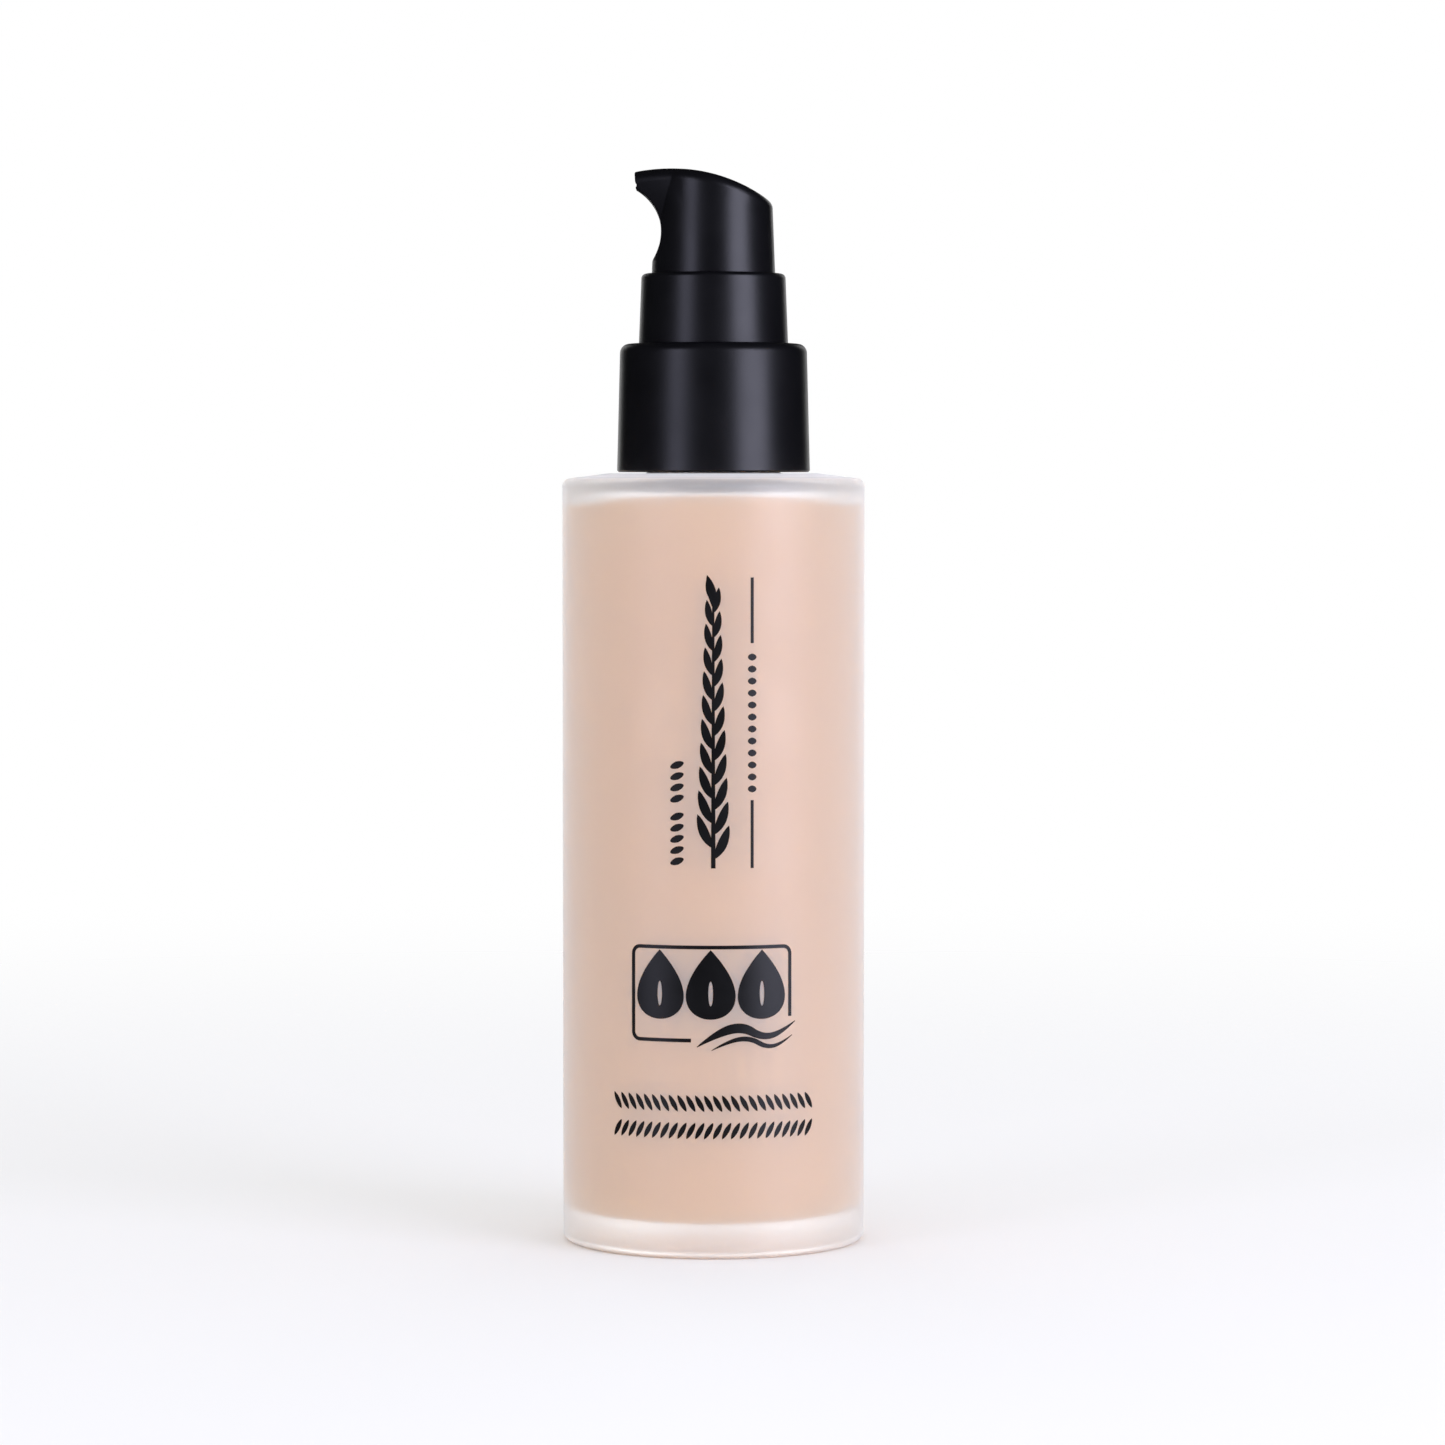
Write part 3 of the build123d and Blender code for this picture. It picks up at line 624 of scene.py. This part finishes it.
def springTree():
    inputs = {
        "Open Turns": 5.5, "Open Rise": 0.01, "Closed Rise": 0.0005, "Foot": 0.0,
        "Coil Radius": 0.002, "Wire Radius": 0.0002, "Points": 360, "Material": None,
    }
    tree, given = startTree("woundWire", inputs)
    wire = given["Foot"]
    line = wire.node("GeometryNodeCurvePrimitiveLine")
    line = wire.node("GeometryNodeResampleCurve", None, {"Curve": line, "Count": given["Points"]})
    along = wire.node("GeometryNodeInputIndex") / (given["Points"] - 1)
    turns = along * (given["Open Turns"] + 2)
    first = turns.atMost(1.0)
    middle = (turns - 1).atLeast(0.0).atMost(given["Open Turns"])
    last = (turns - 1 - given["Open Turns"]).atLeast(0.0)
    rise = (first + last) * given["Closed Rise"] + middle * given["Open Rise"] / given["Open Turns"]
    turn = turns * (2 * pi)
    reach = given["Coil Radius"]
    spot = wire.join(turn.cos() * reach, turn.sin() * reach, given["Foot"] + rise)
    path = wire.node("GeometryNodeSetPosition", None, {"Geometry": line, "Position": spot})
    circle = {"Resolution": 14, "Radius": given["Wire Radius"]}
    ring = wire.node("GeometryNodeCurvePrimitiveCircle", None, circle)
    sweep = {"Curve": path, "Profile Curve": ring, "Fill Caps": True}
    shape = wire.node("GeometryNodeCurveToMesh", None, sweep)
    endTree(wire, shape, given["Material"])
    return tree


wireRadius, closedRise = returnSpring["Wire Radius"], returnSpring["Closed Rise"]
returnSpring["Foot"] = springLow.z + wireRadius
returnSpring["Coil Radius"] = springHigh.x - wireRadius
returnSpring["Open Rise"] = springHigh.z - springLow.z - 2 * wireRadius - 2 * closedRise
springPiece = growPiece("woundSpring", springTree(), {**returnSpring, "Material": steel})
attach(springPiece, "pump")
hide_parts("return_spring")
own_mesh(springPiece)
print("spring wound:", len(springPiece.data.polygons), "faces")


# ---------- printed artwork: flat shapes are thickened, then wrapped round the glass
def wrapOnGlass(wire, flat, thickness, radius):
    raised = wire.node(
        "GeometryNodeExtrudeMesh", {"mode": "FACES"},
        {"Mesh": flat, "Offset Scale": thickness, "Individual": False},
    )
    under = wire.node("GeometryNodeFlipFaces", None, {0: flat})
    shape = wire.node("GeometryNodeJoinGeometry", None, {0: [raised, under]})
    shape = wire.node("GeometryNodeMergeByDistance", None, {"Geometry": shape, "Distance": weld})
    x, y, z = wire.node("GeometryNodeInputPosition").split()
    turn = x / radius
    reach = z + radius
    spot = wire.join(reach * turn.sin(), reach * turn.cos() * -1, y)
    return wire.node("GeometryNodeSetPosition", None, {"Geometry": shape, "Position": spot})


def printOnGlass(wire, flat, given):
    shape = wrapOnGlass(wire, flat, given["Ink Thickness"], given["Glass Radius"])
    endTree(wire, shape, given["Material"])


def flatGrid(wire, across, along):  # a unit sheet, and its place from 0 to 1 along
    sides = {"Size X": 1.0, "Size Y": 1.0, "Vertices X": across, "Vertices Y": along}
    x, y, z = wire.node("GeometryNodeInputPosition").split()
    return wire.node("GeometryNodeMeshGrid", None, sides), x, y + 0.5


def leafShape(wire, length, width, fullness, bend):  # a flat leaf that stands on the origin
    grid, x, along = flatGrid(wire, 3, 13)
    half = (along * pi).sin().atLeast(0.0) ** fullness
    sideways = x * width * half + bend * along * along
    spot = wire.join(sideways, along * length, 0.0)
    return wire.node("GeometryNodeSetPosition", None, {"Geometry": grid, "Position": spot})


inkBase = {
    "Ink Thickness": 0.035 * mm,
    "Glass Radius": glassRadius - 0.008 * mm,  # the ink is keyed just into the etched skin
    "Material": ink,
}


sprigHabit = {  # shares of the sprig's length, leaf width or stem width
    "reach": 0.84,
    "footGap": 0.03,
    "closing": 0.35,  # leaves stand closer to the stem towards the tip
    "stagger": 0.42,
    "leafBend": -0.7,
    "topLeaf": 0.9,
    "stemFoot": 1.25,
    "stemTaper": 0.7,
    "stemReach": 0.93,
}


def sprigTree(habit):
    inputs = {
        "Leaves": 10, "Foot": 0.0, "Length": 0.034, "Leaf Length": 0.004, "Leaf Width": 0.001,
        "Fullness": 0.8, "Stem Width": 0.0003, "Open Angle": 0.8, "Taper": 0.4,
        "Ink Thickness": 0.00003, "Glass Radius": 0.018, "Material": None,
    }
    tree, given = startTree("leafSprig", inputs)
    wire = given["Foot"]
    length, width = given["Leaf Length"], given["Leaf Width"]
    leaf = leafShape(wire, length, width, given["Fullness"], width * habit["leafBend"])
    spots = wire.node("GeometryNodeMeshLine", None, {"Count": given["Leaves"], "Offset": (0, 0, 0)})
    share = wire.node("GeometryNodeInputIndex") / (given["Leaves"] - 1)  # 0 at the foot, 1 at the tip
    rise = given["Foot"] + given["Length"] * (share * habit["reach"] + habit["footGap"])
    spots = wire.node(
        "GeometryNodeSetPosition", None, {"Geometry": spots, "Position": wire.join(0.0, rise, 0.0)}
    )
    small = 1 - share * given["Taper"]
    turn = wire.join(0.0, 0.0, given["Open Angle"] * (1 - share * habit["closing"]) * -1)
    side = wire.node(
        "GeometryNodeInstanceOnPoints", None,
        {"Points": spots, "Instance": leaf, "Rotation": turn, "Scale": wire.join(small, small, 1.0)},
    )
    side = wire.node("GeometryNodeRealizeInstances", None, {0: side})
    half = given["Length"] / given["Leaves"] * habit["stagger"]
    mirrored = wire.node(
        "GeometryNodeTransform", None,
        {"Geometry": side, "Translation": wire.join(0.0, half, 0.0), "Scale": (-1, 1, 1)},
    )
    mirrored = wire.node("GeometryNodeFlipFaces", None, {0: mirrored})
    small = habit["topLeaf"]
    top = wire.join(0.0, given["Foot"] + given["Length"] - length * small, 0.0)
    moved = {"Geometry": leaf, "Translation": top, "Scale": (small, small, 1)}
    top = wire.node("GeometryNodeTransform", None, moved)
    stem, x, along = flatGrid(wire, 2, 24)
    wide = given["Stem Width"] * (habit["stemFoot"] - along * habit["stemTaper"])
    spot = wire.join(x * wide, given["Foot"] + given["Length"] * habit["stemReach"] * along, 0.0)
    stem = wire.node("GeometryNodeSetPosition", None, {"Geometry": stem, "Position": spot})
    flat = wire.node("GeometryNodeJoinGeometry", None, {0: [side, mirrored, top, stem]})
    printOnGlass(wire, flat, given)
    return tree


def rowTree():
    inputs = {
        "Count": 12, "Start": (0.0, 0.0, 0.0), "Step": (0.001, 0.0, 0.0), "Seed Length": 0.001,
        "Seed Width": 0.001, "Fullness": 0.5, "Lean": 0.0, "Gap After": 99,
        "Gap": 0.0, "Ink Thickness": 0.00003, "Glass Radius": 0.018, "Material": None,
    }
    tree, given = startTree("seedRow", inputs)
    wire = given["Lean"]
    seed = leafShape(wire, given["Seed Length"], given["Seed Width"], given["Fullness"], 0.0)
    seed = wire.node(
        "GeometryNodeTransform", None,
        {"Geometry": seed, "Translation": wire.join(0.0, given["Seed Length"] * -0.5, 0.0)},
    )
    spots = wire.node("GeometryNodeMeshLine", None, {"Count": given["Count"], "Offset": (0, 0, 0)})
    order = wire.node("GeometryNodeInputIndex")
    over = order.maths("GREATER_THAN", order, given["Gap After"] - 0.5)
    stride = {0: given["Step"], "Scale": order + over * given["Gap"]}
    spot = wire.node("ShaderNodeVectorMath", {"operation": "SCALE"}, stride)
    spot = wire.vector("ADD", spot, given["Start"])
    spots = wire.node("GeometryNodeSetPosition", None, {"Geometry": spots, "Position": spot})
    turn = wire.join(0.0, 0.0, given["Lean"])
    seeds = wire.node(
        "GeometryNodeInstanceOnPoints", None, {"Points": spots, "Instance": seed, "Rotation": turn}
    )
    flat = wire.node("GeometryNodeRealizeInstances", None, {0: seeds})
    printOnGlass(wire, flat, given)
    return tree


def strokeTree():  # a flat ribbon along a curve, as wide as the curve's radius says
    inputs = {
        "Width": 0.0004, "Corner": 0.0, "Rings": 60, "Ink Thickness": 0.00003,
        "Glass Radius": 0.018, "Material": None,
    }
    tree, given = startTree("inkStroke", inputs)
    wire = given["Width"]
    line = wire.node(
        "GeometryNodeFilletCurve", {"mode": "POLY"},
        {"Curve": given["Geometry"], "Radius": given["Corner"], "Count": 8, "Limit Radius": True},
    )
    grid, x, along = flatGrid(wire, 3, given["Rings"])
    swell = wire.node("GeometryNodeInputRadius")
    sample = wire.node(
        "GeometryNodeSampleCurve", {"mode": "FACTOR", "use_all_curves": True},
        {"Curves": line, "Value": swell, "Factor": along},
    )
    side = wire.vector("CROSS_PRODUCT", sample.other("Tangent"), (0, 0, 1))
    side = wire.vector("NORMALIZE", side)
    reach = {0: side, "Scale": x * given["Width"] * sample}
    across = wire.node("ShaderNodeVectorMath", {"operation": "SCALE"}, reach)
    spot = wire.vector("ADD", sample.other("Position"), across)
    flat = wire.node("GeometryNodeSetPosition", None, {"Geometry": grid, "Position": spot})
    printOnGlass(wire, flat, given)
    return tree


def dropTree():  # a heavy drop with a slot of bare glass in it
    inputs = {
        "Centre X": 0.0, "Foot": 0.0, "Width": 0.005, "Height": 0.008, "Slot Width": 0.0006,
        "Slot Height": 0.003, "Slot Lift": 0.0028, "Ink Thickness": 0.00003, "Glass Radius": 0.018,
        "Material": None,
    }
    tree, given = startTree("inkDrop", inputs)
    wire = given["Width"]
    grid, x, along = flatGrid(wire, 7, 65)
    out = x + 0.5  # 0 at the slot, 1 at the outline
    turn = along * (2 * pi)
    swell = (turn / 2).sin()
    outerX = turn.sin() * swell * given["Width"] * -0.65  # this curve is 0.77 wide, so 0.65 gives half
    outerY = (turn.cos() + 1) * given["Height"] * 0.5
    innerX = turn.sin() * given["Slot Width"] * -0.5
    innerY = turn.cos() * given["Slot Height"] * 0.5 + given["Slot Lift"]
    spotX = given["Centre X"] + innerX * (1 - out) + outerX * out
    spotY = given["Foot"] + innerY * (1 - out) + outerY * out
    flat = wire.node(
        "GeometryNodeSetPosition", None, {"Geometry": grid, "Position": wire.join(spotX, spotY, 0.0)}
    )
    flat = wire.node("GeometryNodeMergeByDistance", None, {"Geometry": flat, "Distance": weld})
    printOnGlass(wire, flat, given)
    return tree


prints = []
sprigMark = {
    "Leaves": 11, "Foot": 45.7 * mm, "Length": 34.0 * mm,
    "Leaf Length": 4.3 * mm, "Leaf Width": 1.15 * mm, "Fullness": 0.75,
    "Stem Width": 0.42 * mm, "Open Angle": 0.62, "Taper": 0.3,
}
prints.append(growPiece("printSprig", sprigTree(sprigHabit), {**inkBase, **sprigMark}))

row = rowTree()
rowMarks = {
    "printBeads": {
        "Count": 9, "Start": (-4.25 * mm, 46.5 * mm, 0), "Step": (0, 1.3 * mm, 0),
        "Seed Length": 0.85 * mm, "Seed Width": 1.7 * mm, "Fullness": 0.6, "Lean": 0.35,
        "Gap After": 5, "Gap": 0.6,
    },
    "printDots": {
        "Count": 12, "Start": (4.55 * mm, 54.9 * mm, 0), "Step": (0, 1.39 * mm, 0),
        "Seed Length": 0.82 * mm, "Seed Width": 1.02 * mm, "Fullness": 0.55,
    },
    "printBandUpper": {
        "Count": 24, "Start": (-12.0 * mm, 18.3 * mm, 0), "Step": (1.042 * mm, 0, 0),
        "Seed Length": 2.2 * mm, "Seed Width": 0.6 * mm, "Fullness": 0.7, "Lean": 0.5,
    },
    "printBandLower": {
        "Count": 24, "Start": (-12.0 * mm, 15.1 * mm, 0), "Step": (1.042 * mm, 0, 0),
        "Seed Length": 2.2 * mm, "Seed Width": 0.6 * mm, "Fullness": 0.7, "Lean": -0.5,
    },
}
for name, marks in rowMarks.items():
    prints.append(growPiece(name, row, {**inkBase, **marks}))

stroke = strokeTree()
strokeMarks = {
    "printRuleLow": {"points": [(4.55, 45.7), (4.55, 53.6)], "Width": 0.36 * mm, "Rings": 12},
    "printRuleHigh": {"points": [(4.55, 71.8), (4.55, 79.4)], "Width": 0.36 * mm, "Rings": 12},
    "printFrame": {
        "points": [(-2.6, 25.65), (-9.75, 25.65), (-9.75, 36.5), (9.3, 36.5), (9.3, 28.3)],
        "Width": 0.42 * mm, "Corner": 0.85 * mm, "Rings": 260,
    },
    "printSwipe": {
        "points": [(-1.9, 24.9), (0.6, 26.6), (3.4, 27.3), (5.6, 26.0), (7.8, 26.2), (10.0, 27.7)],
        "radii": [0.1, 1.2, 1.5, 1.0, 0.8, 0.1],
        "smooth": True, "Width": 0.8 * mm, "Rings": 90,
    },
    "printSwipeLow": {
        "points": [(-0.2, 24.5), (2.0, 25.7), (4.4, 25.9), (6.2, 24.8), (8.0, 25.0), (9.6, 26.1)],
        "radii": [0.1, 0.8, 1.0, 0.9, 0.6, 0.1],
        "smooth": True, "Width": 0.6 * mm, "Rings": 90,
    },
}
for name, marks in strokeMarks.items():
    points = [(u * mm, v * mm, 0) for u, v in marks["points"]]
    path = lineCurve(name + "Path", points, marks.get("radii"), marks.get("smooth", False))
    given = {key: value for key, value in marks.items() if key[0].isupper()}
    prints.append(growPiece(name, stroke, {**inkBase, **given}, path))

drop = dropTree()
for name, middle in {"printDropLeft": -6.35, "printDropMid": -0.3, "printDropRight": 5.75}.items():
    marks = {
        "Centre X": middle * mm, "Foot": 28.1 * mm, "Width": 5.8 * mm, "Height": 8.1 * mm,
        "Slot Width": 0.55 * mm, "Slot Height": 2.9 * mm, "Slot Lift": 3.0 * mm,
    }
    prints.append(growPiece(name, drop, {**inkBase, **marks}))

for piece in prints:
    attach(piece, "bottle")
print("artwork printed:", len(prints), "pieces")
